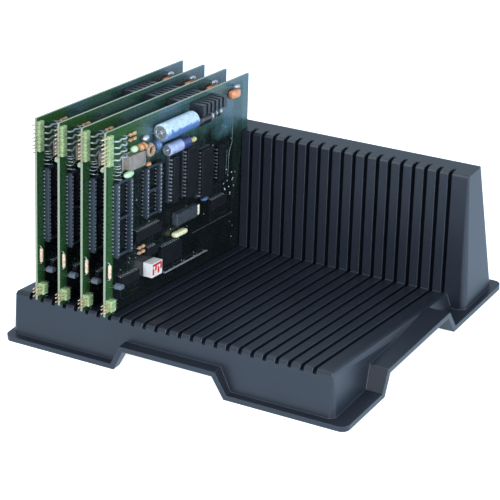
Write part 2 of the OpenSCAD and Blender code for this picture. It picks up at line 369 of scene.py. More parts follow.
def distance(tree, direction):
    """Distance from the boards' lower front corner along one of their directions."""
    source = tree.nodes.new("ShaderNodeTexCoord")
    dot = tree.nodes.new("ShaderNodeVectorMath")
    dot.operation = "DOT_PRODUCT"
    dot.inputs[1].default_value = direction
    tree.links.new(source.outputs["Object"], dot.inputs[0])
    shift = tree.nodes.new("ShaderNodeMath")
    shift.operation = "SUBTRACT"
    shift.inputs[1].default_value = direction.dot(board_place[1].translation)
    tree.links.new(dot.outputs["Value"], shift.inputs[0])
    return shift.outputs["Value"]


def resist_on_laminate():
    """Near black over most of the laminate, a painted green-to-teal sheen over the front strip, the upper band
    and the rear corner, and pale glass cloth at the edges.
    """
    material = finish_of("green_resist", dark_resist, 0.26, vary=0.3, grain=0.0015, relief=0.003)
    tree = material.node_tree
    shader = tree.nodes["Principled BSDF"]
    shader.inputs["Specular IOR Level"].default_value = 0.38
    dark_base = shader.inputs["Base Color"].links[0].from_socket
    wander = spread(tree, noise(tree, 0.018, 3), -6 * MM, 6 * MM)
    y = combine(tree, "ADD", distance(tree, along), wander)
    z = combine(tree, "ADD", distance(tree, upward), wander)
    # Painted sheen: the front strip, the upper band and the rear corner are painted lighter green, turning teal
    # and blue further back, as reflected light; the rest stays near black
    front_strip = between(tree, distance(tree, along), 9 * MM, 7.5 * MM)
    upper = between(tree, z, 92 * MM, 106 * MM)
    rear_y = between(tree, y, 132 * MM, 144 * MM)
    rear = combine(tree, "MULTIPLY", rear_y, between(tree, z, 86 * MM, 97 * MM))
    painted_sheen = combine(tree, "MAXIMUM", front_strip, combine(tree, "MAXIMUM", upper, rear))
    clouds = combine(tree, "MAXIMUM", spread(tree, noise(tree, 0.035, 2), 0, 1), 0.3)
    rearward = combine(tree, "MULTIPLY", between(tree, y, 78 * MM, 100 * MM), 0.55)
    teal_spread = combine(tree, "MAXIMUM", clouds, combine(tree, "MAXIMUM", rear, rearward))
    teal = combine(tree, "MULTIPLY", between(tree, y, 30 * MM, 52 * MM), teal_spread)
    bluer = blend_colours(tree, spread(tree, noise(tree, 0.026, 2), 0, 0.45), sheen_teal, sheen_blue)
    face = blend_colours(tree, painted_sheen, dark_base, blend_colours(tree, teal, lit_green, bluer))
    geometry = tree.nodes.new("ShaderNodeNewGeometry")
    split = tree.nodes.new("ShaderNodeSeparateXYZ")
    tree.links.new(geometry.outputs["True Normal"], split.inputs["Vector"])
    edge = combine(tree, "LESS_THAN", combine(tree, "ABSOLUTE", split.outputs["X"], 0), 0.5)
    weave = spread(tree, noise(tree, 0.0008, 2, (8, 1, 1)), 0, 1)
    cloth = blend_colours(tree, weave, tuple(c * 0.8 for c in glass_cloth), glass_cloth)
    tree.links.new(blend_colours(tree, edge, face, cloth), shader.inputs["Base Color"])
    return material


# The lower front corner is cut back level with the rack's deck
overhang = 5.9 * MM
in_slot = 3.7 * MM
notch_l = overhang + 5 * MM
sheet = brick((board_t, board_l, board_h), (-board_t, 0, 0))
notch = brick((board_t * 3, overhang + notch_l, in_slot * 2), (-board_t * 2, -overhang, -in_slot))
carved(sheet, notch)
on_every_board(joined("board", [sheet], resist_on_laminate(), 20), "laminate")

# Empty sockets: the middles of both rails, and their ends, in mm on the board
processor_at = (8.9, 24.1, 42.7, 93.5)
open_socket_at = (42.9, 58.1, 60.0, 94.6)
rail_w = 2.6 * MM
rail_h = 4.2 * MM
open_sockets = [(Vector((0, y0 * MM - rail_w / 2, z0 * MM)), Vector((rail_h, y1 * MM + rail_w / 2, z1 * MM)))
                for y0, y1, z0, z1 in (processor_at, open_socket_at)]
seated = [box for box in solids("memory_chips_1") if box[0].y > open_socket_at[1] * MM]
flat = solids("logic_chips_1")
chips = open_sockets + seated + flat
chance = random.Random(7)
lead_pitch = 2.54 * MM
track_w = 0.45 * MM
proud = 0.05 * MM


def track_paths():
    """Tracks that leave the chips' leads, run beside them and turn at 45 degrees between rows."""
    paths = []
    for low, high in chips:
        upright = high.z - low.z > high.y - low.y
        for k in range(int(max(high.z - low.z, high.y - low.y) / lead_pitch)):
            reach = (3 + (k * 5) % 7) * MM
            rise = (2 + (k * 3) % 5) * MM
            side = -1 if k % 2 else 1
            if upright:
                start = Vector((0, low.y if side < 0 else high.y, low.z + (k + 0.5) * lead_pitch))
                first = start + Vector((0, side * reach, 0))
                turned = first + Vector((0, side * rise * 0.5, rise * 0.5))
                last = turned + Vector((0, 0, reach * 1.6))
            else:
                start = Vector((0, low.y + (k + 0.5) * lead_pitch, low.z if side < 0 else high.z))
                first = start + Vector((0, 0, side * reach))
                turned = first + Vector((0, rise * 0.5, side * rise * 0.5))
                last = turned + Vector((0, reach * 1.6, 0))
            paths.append([start, first, turned, last])
    for k in range(9):
        z = board_h - (3.2 + k * 1.05) * MM
        y = board_l - (8 + k * 1.3) * MM
        paths.append([Vector((0, (30 + 4 * k) * MM, z)), Vector((0, y - MM, z)),
                      Vector((0, y, z - MM)), Vector((0, y, (70 - 5 * k) * MM))])
    clear = 1.5 * MM
    for path in paths:
        for point in path:
            point.y = min(max(point.y, clear), board_l - clear)
            point.z = min(max(point.z, clear), board_h - clear)
    return paths


tracks = wire(track_paths(), track_w, "tracks", smooth=False)
for vertex in tracks.data.vertices:
    vertex.co.x = proud if vertex.co.x > 0 else 0
track_finish = finish_of("covered_copper", (0.011, 0.028, 0.019), 0.28, patch=0.01, vary=0.5)
on_every_board(joined("tracks", [tracks], track_finish))

# The solder side has its own tracks, a little further back and up
shift = Vector((0, 3.1 * MM, 1.7 * MM))
back_paths = [[point + shift for point in path] for path in track_paths()]
back_tracks = wire(back_paths, track_w, "back_tracks", smooth=False)
for vertex in back_tracks.data.vertices:
    vertex.co.x = -board_t if vertex.co.x > 0 else -board_t - proud
    vertex.co.y = min(vertex.co.y, board_l - MM)
    vertex.co.z = min(vertex.co.z, board_h - MM)
back_finish = finish_of("covered_copper_back", (0.020, 0.055, 0.035), 0.28, patch=0.01, vary=0.5)
on_every_board(joined("back_tracks", [back_tracks], back_finish))

# Supply tracks: thinly covered, so paler than the others
supply_runs = [[(104, 31), (156, 31.6)], [(149, 60), (150.5, 78), (154, 84), (154, 108)],
               [(146.5, 62), (147.5, 80)]]
supply_paths = [[Vector((proud, y * MM, z * MM)) for y, z in run] for run in supply_runs]
supply = wire(supply_paths, 0.4 * MM, "supply", smooth=False)
supply_finish = finish_of("supply_copper", (0.10, 0.15, 0.14), 0.3, metallic=0.3, patch=0.01, vary=0.3)
on_every_board(joined("supply_tracks", [supply], supply_finish))


def rings(places, radius):
    """Tinned rings with a raised fillet in the middle, on the parts' face."""
    made = []
    for y, z in places:
        bpy.ops.object.select_all(action="DESELECT")
        bpy.ops.mesh.primitive_cone_add(vertices=10, radius1=radius, radius2=radius * 0.35, depth=radius * 0.5,
                                        location=(radius * 0.25, y, z), rotation=(0, math.pi / 2, 0))
        made.append(settle())
    return made


def free_of_chips(y, z):
    """Whether a place is at least 1 mm clear of every chip and socket."""
    return not any(low.y - MM < y < high.y + MM and low.z - MM < z < high.z + MM for low, high in chips)


scattered = [(chance.uniform(8, 160) * MM, chance.uniform(8, 122) * MM) for _ in range(60)]
vias = rings([place for place in scattered if free_of_chips(*place)], 0.42 * MM)
cluster = [((143 + 3.4 * (k % 5) + 1.3 * (k % 3)) * MM, (46 + 4.8 * (k // 4) + k % 2) * MM)
           for k in range(17)]
vias += rings([place for place in cluster if free_of_chips(*place)], 0.62 * MM)
dull_tin = finish_of("dull_tin", (0.34, 0.36, 0.38), 0.4, metallic=0.6, patch=0.003, vary=0.3)
tinned = finish_of("tinned", (0.52, 0.54, 0.56), 0.28, metallic=1.0, patch=0.003, vary=0.15)
on_every_board(joined("vias", vias, dull_tin))

# ---------------------------------------------------------------------------
# Chips
# Transfer-moulded black epoxy bodies with tinned leads. The memories stand in
# sockets and the logic chips are soldered flat; two sockets stand empty, open
# frames of two rails with cross-bars and a row of tinned contacts on each.

chip_epoxy = finish_of("chip_epoxy", (0.0075, 0.0085, 0.0110), 0.46, patch=0.004, vary=0.35, grain=0.0002)
chip_epoxy.node_tree.nodes["Principled BSDF"].inputs["Specular IOR Level"].default_value = 0.25
rounded_edges(chip_epoxy, 0.25 * MM)
socket_plastic = finish_of("socket_plastic", (0.026, 0.036, 0.050), 0.40, patch=0.003, vary=0.25)
rounded_edges(socket_plastic, 0.2 * MM)
wear_each("logic_chips", chip_epoxy)

lead_t = 0.28 * MM
body_t = 3.4 * MM
socket_lip = 0.7 * MM


def lead_rows(box, lip):
    """Count, first place, running and crossing direction of a chip's two rows."""
    low, high = box
    upright = high.z - low.z > high.y - low.y
    run, side = (2, 1) if upright else (1, 2)
    count = int((high[run] - low[run] - lip) / lead_pitch)
    start = (low[run] + high[run]) / 2 - (count - 1) / 2 * lead_pitch
    step = [0, 0, 0]
    step[run] = lead_pitch
    return count, start, run, side, step


def oriented(run, side, out, across, size_out, size_run, size_across, start):
    """Size and lowest corner of a small brick that belongs to a lead."""
    size, at = [size_out, 0, 0], [out, 0, 0]
    size[run], at[run] = size_run, start - size_run / 2
    size[side], at[side] = size_across, across
    return size, at


def bent_leads(box, socketed):
    """Both rows of one chip's leads: a wide shoulder, then a narrow leg down."""
    low, high = box
    lip = socket_lip if socketed else 0.0
    count, start, run, side, step = lead_rows(box, lip)
    shoulder = high.x - body_t * 0.45
    foot = high.x - body_t - 0.4 * MM if socketed else 0.0
    made = []
    for sign, wall in ((-1, low[side] + lip), (1, high[side] - lip)):
        outer = wall + sign * 0.7 * MM
        skin = outer if sign < 0 else outer - lead_t
        for width, x0, x1, across, reach in (
                (1.1 * MM, shoulder - lead_t, shoulder, min(wall, outer), 0.7 * MM),
                (1.1 * MM, shoulder - 0.9 * MM, shoulder, skin, lead_t),
                (0.5 * MM, foot, shoulder - 0.8 * MM, skin, lead_t)):
            size, at = oriented(run, side, x0, across, x1 - x0, width, reach, start)
            made.append(in_row(brick(size, at), step, count))
    return made


def solder_cone(y, z, wide=0.95 * MM, tip=0.25 * MM, depth=0.7 * MM):
    """One joint on the solder side."""
    bpy.ops.object.select_all(action="DESELECT")
    bpy.ops.mesh.primitive_cone_add(vertices=8, radius1=wide, radius2=tip, depth=depth,
                                    location=(-board_t - depth / 2, y, z), rotation=(0, -math.pi / 2, 0))
    return settle()


def solder_rows(box, lip):
    """Joints below both rows of one chip."""
    low, high = box
    count, start, run, side, step = lead_rows(box, lip)
    made = []
    for wall in (low[side] + 0.3 * MM, high[side] - 0.3 * MM):
        at = [0, 0, 0]
        at[side], at[run] = wall, start
        made.append(in_row(solder_cone(at[1], at[2]), step, count))
    return made


def chip_body(box, base):
    """Moulded body: drafted sides, rounded edges and the half-round notch at one end."""
    low, high = box
    _, _, run, side, _ = lead_rows(box, 0)
    middle = (low[side] + high[side]) / 2
    draft = 0.25 * MM
    body = brick((high.x - base, high.y - low.y, high.z - low.z), (base, low.y, low.z))
    for vertex in body.data.vertices:
        if vertex.co.x > (base + high.x) / 2:
            vertex.co[side] += draft if vertex.co[side] < middle else -draft
    mark = [high.x, 0, 0]
    mark[run], mark[side] = high[run], middle
    bpy.ops.object.select_all(action="DESELECT")
    bpy.ops.mesh.primitive_cylinder_add(vertices=16, radius=1.1 * MM, depth=0.8 * MM, location=mark,
                                        rotation=(0, math.pi / 2, 0))
    return rounded(carved(body, settle()), 0.25 * MM)


def socket_rails(y0, y1, z0, z1):
    """Two rails held off the board, joined by three flat cross-bars."""
    length = (z1 - z0) * MM
    feet = 0.5 * MM
    made = []
    for y in (y0, y1):
        corner = (feet, y * MM - rail_w / 2, z0 * MM)
        made.append(brick((rail_h - feet, rail_w, length), corner, 0.2 * MM))
    for share in (0, 0.5, 1):
        made.append(brick((1.6 * MM, (y1 - y0 - 2.4) * MM, 1.7 * MM),
                          (0.9 * MM, (y0 + 1.2) * MM, z0 * MM + share * (length - 1.7 * MM)), 0.2 * MM))
    return made


def socket_contacts(y0, y1, z0, z1):
    """Contact mouths on top of both rails, and the contacts' feet below them."""
    count = int((z1 - z0) * MM / lead_pitch)
    start = (z0 + z1) / 2 * MM - (count - 1) / 2 * lead_pitch
    made = []
    for y in (y0, y1):
        corner = (rail_h - 0.2 * MM, (y - 0.5) * MM, start - 0.55 * MM)
        mouth = brick((0.35 * MM, 1.0 * MM, 1.1 * MM), corner, 0.12 * MM)
        made.append(in_row(mouth, (0, 0, lead_pitch), count))
        for edge in (y - 1.5, y + 1.2):
            foot = brick((0.9 * MM, 0.3 * MM, 0.7 * MM), (0, edge * MM, start - 0.35 * MM), 0.08 * MM)
            made.append(in_row(foot, (0, 0, lead_pitch), count))
    return made


processor_rails = socket_rails(*processor_at)
on_every_board(joined("processor_socket", processor_rails, socket_plastic), "processor")
margin = Vector((0, socket_lip, 0.3 * MM))
memory_bodies = [chip_body((low + margin, high - margin), high.x - body_t) for low, high in seated]
on_every_board(joined("memory_bodies", memory_bodies, chip_epoxy, angle=20), "memory_chips")
seat_rails = socket_rails(*open_socket_at)
for low, high in seated:
    seat_size = (high.x - body_t - 0.3 * MM, high.y - low.y, high.z - low.z)
    seat_rails.append(brick(seat_size, (0, low.y, low.z), 0.2 * MM))
on_every_board(joined("memory_sockets", seat_rails, socket_plastic))

leads = []
joints = []
for box in seated:
    leads += bent_leads(box, True)
    joints += solder_rows(box, socket_lip)
for box in flat:
    leads += bent_leads(box, False)
    joints += solder_rows(box, 0)
for box in open_sockets:
    joints += solder_rows(box, 0)
lead_finish = finish_of("lead_tin", (0.50, 0.53, 0.57), 0.38, metallic=0.55, patch=0.002, vary=0.12)
on_every_board(joined("chip_leads", leads, lead_finish))
on_every_board(joined("solder_joints", joints, tinned))
contacts = socket_contacts(*processor_at) + socket_contacts(*open_socket_at)
on_every_board(joined("socket_contacts", contacts, lead_finish))

# ---------------------------------------------------------------------------
# Headers
# Moulded yellow-green housings at the front edge, eight ways above and two
# rows of three below, with square gold-flashed pins that fan out a little
# past the board after use.

header_plastic = finish_of("header_plastic", (0.31, 0.42, 0.20), 0.40, patch=0.003, vary=0.25)
rounded_edges(header_plastic, 0.2 * MM)
gold_flash = finish_of("gold_flash", (0.80, 0.62, 0.36), 0.34, metallic=0.6, patch=0.002, vary=0.25)
pin_t = 0.64 * MM
near_row = 1.35 * MM
far_row = 3.9 * MM
upper_ways = 8
lower_ways = 3


def housing(at, size, ways):
    """One moulded way with its corners cut, repeated upwards."""
    way = size[2] / ways
    block = rounded(brick((size[0], size[1], way), at), 0.4 * MM, segments=1)
    return in_row(block, (0, 0, way), ways)


def fanned_pins(outs, low_z, ways, housing_l, tip):
    """Pins that leave the housing's front and spread by a few degrees."""
    made = []
    for out in outs:
        for k in range(ways):
            z = low_z + (k + 0.5) * lead_pitch
            lean = chance.uniform(-0.35, 0.15) * MM
            drop_by = chance.uniform(-0.9, 0.3) * MM
            pin = brick((pin_t, housing_l - tip, pin_t), (out - pin_t / 2, tip, z - pin_t / 2), 0.08 * MM)
            for vertex in pin.data.vertices:
                share = min(max(vertex.co.y / tip, 0), 1)
                vertex.co.x += lean * share
                vertex.co.z += drop_by * share
            made.append(pin)
    return made


header_low, header_high = solids("upper_header_1")[0]
lower_low, lower_high = solids("lower_header_1")[0]
pin_tip = min(low.y for low, high in solids("header_pins_1")) + 0.15 * MM
upper_size = (2 * near_row, header_high.y, header_high.z - header_low.z)
lower_size = (lower_high.x, lower_high.y, lower_ways * lead_pitch)
upper_housing = housing((0, 0, header_low.z), upper_size, upper_ways)
lower_housing = housing((0, 0, lower_low.z), lower_size, lower_ways)
on_every_board(joined("upper_housing", [upper_housing], header_plastic), "upper_header")
on_every_board(joined("lower_housing", [lower_housing], header_plastic), "lower_header")
pins = fanned_pins((near_row,), header_low.z, upper_ways, header_high.y, pin_tip)
pins += fanned_pins((near_row, far_row), lower_low.z, lower_ways, lower_high.y, pin_tip)
on_every_board(joined("fanned_pins", pins, gold_flash), "header_pins")

# Tinned tails that leave the back of each housing and turn into the board
tails = []
bend = 0.5 * MM
for low_z, ways, outs in ((header_low.z, upper_ways, (near_row,)),
                          (lower_low.z, lower_ways, (near_row, far_row))):
    for row, out in enumerate(outs):
        back = header_high.y + (1.2 + 2.2 * row) * MM
        for k in range(ways):
            z = low_z + (k + 0.5) * lead_pitch
            tails.append([Vector((out, header_high.y - bend, z)), Vector((out, back - bend, z)),
                          Vector((out - bend, back, z)), Vector((0, back, z))])
tail_wires = wire(tails, 0.6 * MM, "header_tails", smooth=False)
on_every_board(joined("header_tails", [tail_wires], tinned))

# Bare jumpers, slightly wavy, that run from the upper header to the parts
# behind it, and thinner ones below
jumper_shape = ((0, 0, 0), (2.4, 0.8, 0), (3.6, 3.5, -1), (2.8, 7, 1), (3.6, 10.5, -1),
                (2.2, 13.4, 1), (0, 14, 1))
jumper_paths = []
for k in range(4):
    z = header_low.z + (3.2 + 4.1 * k) * MM
    y = header_high.y + 1.0 * MM
    wave = (0.5 - 0.3 * (k % 2)) * MM
    jumper_paths.append([Vector((out * MM, y + back * MM, z + up * wave)) for out, back, up in jumper_shape])
jumpers = wire(jumper_paths, 1.15 * MM, "jumpers")
on_every_board(joined("jumpers", [jumpers], lead_finish))
thin_paths = []
for k in range(5):
    z = header_low.z - (1.6 + 2.1 * k + chance.uniform(-0.5, 0.5)) * MM
    y = (7.6 + 1.1 * (k % 3)) * MM
    reach = chance.uniform(5, 8) * MM
    fall = chance.uniform(-2.4, 0.6) * MM
    thin_paths.append([Vector((0, y, z)), Vector((2.8 * MM, y + 0.6 * MM, z)),
                       Vector((3.6 * MM, y + reach / 2, z + fall / 2)), Vector((0, y + reach, z + fall))])
thin_jumpers = wire(thin_paths, 0.55 * MM, "thin_jumpers")
on_every_board(joined("thin_jumpers", [thin_jumpers], lead_finish))

# ---------------------------------------------------------------------------
# Electrolytic capacitors
# Drawn aluminium cans in heat-shrunk blue sleeve, rolled in near one end,
# lying on the board with a lead from each end.

sleeve_light = (0.48, 0.61, 0.72)
sleeve_shade = (0.10, 0.20, 0.44)
sleeve_lilac = (0.38, 0.44, 0.64)
sleeve_navy = (0.035, 0.05, 0.16)
sleeve_black = (0.014, 0.015, 0.018)


def below(tree, level):
    """Ragged mask of the side that faces down and outwards, where the sleeve is painted darker as shade."""
    geometry = tree.nodes.new("ShaderNodeNewGeometry")
    towards = tree.nodes.new("ShaderNodeVectorMath")
    towards.operation = "DOT_PRODUCT"
    towards.inputs[1].default_value = (0.30, 0, -0.95)
    tree.links.new(geometry.outputs["Normal"], towards.inputs[0])
    wander = spread(tree, noise(tree, 0.0025, 3), -0.22, 0.22)
    return between(tree, combine(tree, "ADD", towards.outputs["Value"], wander), level - 0.08, level + 0.08)


def sleeve(name, colour):
    """Glossy shrink sleeve in one colour."""
    material = finish_of(name, colour, 0.32, patch=0.0025, vary=0.2, grain=0.0006)
    material.node_tree.nodes["Principled BSDF"].inputs["Coat Weight"].default_value = 0.25
    return material


def behind(material, y):
    """Mask of what lies further back on the board than a place."""
    tree = material.node_tree
    return between(tree, distance(tree, along), y - 1 * MM, y)


main_sleeve = sleeve("main_sleeve", sleeve_light)
# Painted shade: the sleeve is painted deep blue on its side that faces down and outwards
overlay(main_sleeve, below(main_sleeve.node_tree, 0.12), sleeve_shade)

# The small capacitor is lilac with a navy end; the two behind it are black
black_from = 95 * MM
small_sleeve = sleeve("small_sleeve", sleeve_lilac)
overlay(small_sleeve, behind(small_sleeve, 80 * MM), sleeve_navy)
overlay(small_sleeve, behind(small_sleeve, black_from), sleeve_black)
wear_each("main_capacitor", main_sleeve)
wear_each("small_capacitors", small_sleeve)

main_can = solids("main_capacitor_1")
small_cans = solids("small_capacitors_1")


def axis_of(box):
    """Height, place up the board and radius of a cylinder that lies along the board."""
    low, high = box
    return (low.x + high.x) / 2, (low.z + high.z) / 2, (high.z - low.z) / 2


def lying(box, y, radius, length, sides):
    """Cylinder on a lying part's axis, with its middle at y."""
    x, z, _ = axis_of(box)
    bpy.ops.object.select_all(action="DESELECT")
    bpy.ops.mesh.primitive_cylinder_add(vertices=sides, radius=radius, depth=length, location=(x, y, z),
                                        rotation=(math.pi / 2, 0, 0))
    return settle()


def pick_faces(piece, chosen):
    """Goes into edit mode with only the faces selected whose normals are chosen."""
    bpy.ops.object.mode_set(mode="EDIT")
    bpy.ops.mesh.select_mode(type="FACE")
    bpy.ops.mesh.select_all(action="DESELECT")
    bpy.ops.object.mode_set(mode="OBJECT")
    for face in piece.data.polygons:
        face.select = chosen(face.normal)
    bpy.ops.object.mode_set(mode="EDIT")


def can_end(box, outward):
    """Bare aluminium end inside the sleeve's rim, with a stepped rubber seal."""
    low, high = box
    radius = axis_of(box)[2]
    y = (low.y if outward < 0 else high.y) + outward * 0.05 * MM
    disc = lying(box, y, radius * 0.82, 0.5 * MM, 32)
    pick_faces(disc, lambda normal: normal.y * outward > 0.9)
    bpy.ops.mesh.inset(thickness=radius * 0.22, depth=0)
    bpy.ops.mesh.inset(thickness=radius * 0.06, depth=-0.3 * MM)
    bpy.ops.mesh.inset(thickness=radius * 0.28, depth=0)
    bpy.ops.mesh.inset(thickness=radius * 0.04, depth=0.25 * MM)
    bpy.ops.object.mode_set(mode="OBJECT")
    return disc


can_ends = [can_end(box, outward) for box in main_can + small_cans for outward in (-1, 1)]
bare_aluminium = finish_of("bare_aluminium", (0.50, 0.51, 0.53), 0.33, metallic=0.8, patch=0.002, vary=0.1)
on_every_board(joined("capacitor_ends", can_ends, bare_aluminium))


def collar(box, share, width):
    """Bare metal band rolled over a can near its end."""
    low, high = box
    ring = lying(box, low.y + share * (high.y - low.y), axis_of(box)[2] * 1.03, width, 28)
    return rounded(ring, 0.3 * MM)


rear_cans = [box for box in small_cans if box[0].y > black_from]
collars = [collar(rear_cans[0], 0.93, 2.2 * MM), collar(rear_cans[1], 0.2, 1.6 * MM),
           collar(rear_cans[1], 0.86, 2.4 * MM)]
on_every_board(joined("capacitor_collars", collars, bare_aluminium))


def end_leads(box, reach, thickness):
    """Lead from each end of a lying part, bent down into the board."""
    low, high = box
    x, z, _ = axis_of(box)
    bend = min(0.8 * MM, x)
    paths = []
    for y, sign in ((low.y, -1), (high.y, 1)):
        tip = y + sign * reach
        paths.append([Vector((x, y - sign * 0.3 * MM, z)), Vector((x, tip - sign * bend, z)),
                      Vector((x - bend * 0.3, tip - sign * bend * 0.3, z)), Vector((x - bend, tip, z)),
                      Vector((0, tip, z))])
    return wire(paths, thickness, "end_leads", smooth=False)


capacitor_leads = [end_leads(box, 3 * MM, 0.8 * MM) for box in main_can]
capacitor_leads += [end_leads(box, 2 * MM, 0.7 * MM) for box in small_cans]
on_every_board(joined("capacitor_leads", capacitor_leads, tinned))

# ---------------------------------------------------------------------------
# Resistors
# Film resistors: a ceramic rod dipped in tan lacquer, swollen over its end
# caps, with printed colour bands.

lacquer = finish_of("tan_lacquer", (0.52, 0.32, 0.18), 0.35, patch=0.002, vary=0.2)
overlay(lacquer, behind(lacquer, 81 * MM), (0.62, 0.58, 0.26))
wear_each("resistors", lacquer)
rods = solids("resistors_1")

# Printed bands: the first lies on the swollen end, the others on the waist
for name, share, girth, colour in (("dark", 0.14, 1.03, (0.16, 0.05, 0.02)),
                                   ("red", 0.38, 0.86, (0.50, 0.03, 0.02)),
                                   ("gold", 0.62, 0.86, (0.62, 0.45, 0.14))):
    bands = [lying((low, high), low.y + share * (high.y - low.y), axis_of((low, high))[2] * girth, 0.6 * MM, 20)
             for low, high in rods]
    ink = finish_of(f"band_{name}", colour, 0.4, patch=0.002)
    on_every_board(joined(f"resistor_band_{name}", bands, ink))
rod_leads = [end_leads(box, 1.6 * MM, 0.6 * MM) for box in rods]

# One more stands along the board's front edge, lead up and lead down
bpy.ops.object.select_all(action="DESELECT")
upright_at = Vector((1.9 * MM, 2.0 * MM, 35.0 * MM))
bpy.ops.mesh.primitive_cylinder_add(vertices=20, radius=1.15 * MM, depth=8.4 * MM, location=upright_at)
upright_rod = settle()
pick_faces(upright_rod, lambda normal: abs(normal.z) > 0.9)
bpy.ops.mesh.inset(thickness=0.35 * MM, depth=0.5 * MM)
bpy.ops.object.mode_set(mode="OBJECT")
pale_lacquer = finish_of("pale_lacquer", (0.72, 0.50, 0.36), 0.35, patch=0.0015, vary=0.35)
on_every_board(joined("upright_resistor", [upright_rod], pale_lacquer))
x, y, z = upright_at
upright_ends = [[Vector((x, y, z + s * 4 * MM)), Vector((x, y, z + s * 5.4 * MM)),
                 Vector((x * 0.6, y, z + s * 6 * MM)), Vector((0, y, z + s * 6.2 * MM))] for s in (-1, 1)]
rod_leads.append(wire(upright_ends, 0.7 * MM, "upright_leads", smooth=False))
on_every_board(joined("resistor_leads", rod_leads, tinned))

# ---------------------------------------------------------------------------
# Setting switch
# White housing with a short red rocker in each pocket.

switch_plastic = finish_of("switch_white", (0.84, 0.83, 0.80), 0.32, patch=0.004, vary=0.05)
rounded_edges(switch_plastic, 0.3 * MM)
wear_each("dip_switch", switch_plastic)
switch_low, switch_high = solids("dip_switch_1")[0]
rocker_count = 4
rocker_size = Vector((1.2, 1.9, 4.2)) * MM
rockers = []
for k in range(rocker_count):
    y = switch_low.y + (k + 0.5) * (switch_high.y - switch_low.y) / rocker_count
    z = (switch_low.z + switch_high.z) / 2 + (1.3 if k % 2 else -1.1) * MM
    corner = (switch_high.x - 0.9 * MM, y - rocker_size.y / 2, z - rocker_size.z / 2)
    rockers.append(brick(rocker_size, corner, 0.3 * MM))
rocker_red = finish_of("rocker_red", (0.62, 0.025, 0.02), 0.35, patch=0.002, vary=0.1)
on_every_board(joined("switch_rockers", rockers, rocker_red))
panel = brick((0.12 * MM, (switch_high.y - switch_low.y) * 0.86, (switch_high.z - switch_low.z) * 0.16),
              (switch_high.x - 0.02 * MM, switch_low.y + 0.9 * MM, switch_high.z - 2.2 * MM))
on_every_board(joined("switch_panel", [panel], rocker_red))

# ---------------------------------------------------------------------------
# Crystal can
# Drawn steel can, resistance-welded to a flanged base.

can_steel = finish_of("can_steel", (0.36, 0.31, 0.275), 0.36, metallic=0.35, patch=0.004, vary=0.2)
rounded_edges(can_steel, 0.5 * MM)
wear_each("crystal_can", can_steel)
crystal_low, crystal_high = solids("crystal_can_1")[0]
lip = 0.7 * MM
flange_size = (0.9 * MM, crystal_high.y - crystal_low.y + 2 * lip, crystal_high.z - crystal_low.z + 2 * lip)
base_flange = brick(flange_size, (0, crystal_low.y - lip, crystal_low.z - lip), 0.4 * MM)
on_every_board(joined("crystal_flange", [base_flange], can_steel))

# ---------------------------------------------------------------------------
# Heat sink
# Extruded and black-anodised, screwed to the regulator below it.

anodised = finish_of("black_anodised", (0.028, 0.033, 0.042), 0.34, metallic=0.3, patch=0.003, vary=0.4)
rounded_edges(anodised, 0.3 * MM)
wear_each("regulator", anodised)
sink_low = solids("regulator_1")[0][0]
leg_shape = ((1.4, 0.4), (1.4, -1.2), (0, -1.6))
sink_legs = []
for k in (-1, 0, 1):
    y = sink_low.y + 5 * MM + k * lead_pitch
    sink_legs.append([Vector((out * MM, y, sink_low.z + up * MM)) for out, up in leg_shape])
legs = wire(sink_legs, 0.8 * MM, "regulator_legs", smooth=False)
on_every_board(joined("regulator_legs", [legs], tinned))

# ---------------------------------------------------------------------------
# Film capacitors and relay
# An orange dipped block, a pale yellow one, and a grey relay with a yellow
# end; each is moulded or dipped, so its edges are round.

flake, relay, dipped = solids("film_capacitors_1")


def dipped_block(box, radius):
    """Block with its lacquer's thick round edges."""
    low, high = box
    block = brick(high - low, low, radius)
    soft = block.modifiers.new("Soft", "SUBSURF")
    soft.levels = 1
    soft.render_levels = 1
    bpy.ops.object.modifier_apply(modifier=soft.name)
    return block


orange_dip = finish_of("orange_dip", (0.78, 0.30, 0.13), 0.35, patch=0.002, vary=0.2)
yellow_dip = finish_of("pale_yellow", (0.83, 0.78, 0.50), 0.35, patch=0.002, vary=0.1)
relay_grey = finish_of("relay_grey", (0.042, 0.050, 0.060), 0.35, patch=0.0015, vary=0.7)
on_every_board(joined("orange_capacitor", [dipped_block(dipped, 1.6 * MM)], orange_dip, 60),
               "film_capacitors")
on_every_board(joined("yellow_capacitor", [dipped_block(flake, 1.2 * MM)], yellow_dip, 60))
on_every_board(joined("relay_case", [dipped_block(relay, 0.6 * MM)], relay_grey, 40))
relay_low, relay_high = relay
relay_end = brick((relay_high.x * 1.02, 2.6 * MM, (relay_high.z - relay_low.z) * 0.8),
                  (0, relay_high.y - 1.8 * MM, relay_low.z + 1.2 * MM), 0.5 * MM)
on_every_board(joined("relay_end", [relay_end], yellow_dip))

# ---------------------------------------------------------------------------
# Small parts
# Dipped ceramic capacitors, a wound toroid, a transistor and the tinned bus
# bar, each standing on its own leads.


def drop(at, size):
    """Dipped disc or bead: a flattened ball that narrows towards its leads."""
    bpy.ops.object.select_all(action="DESELECT")
    bpy.ops.mesh.primitive_uv_sphere_add(segments=20, ring_count=12, radius=0.5, location=at, scale=size)
    bead = settle()
    for vertex in bead.data.vertices:
        depth = (at.x - vertex.co.x) / size.x
        if depth > 0:
            vertex.co.z = at.z + (vertex.co.z - at.z) * (1 - 0.5 * depth)
    return bead


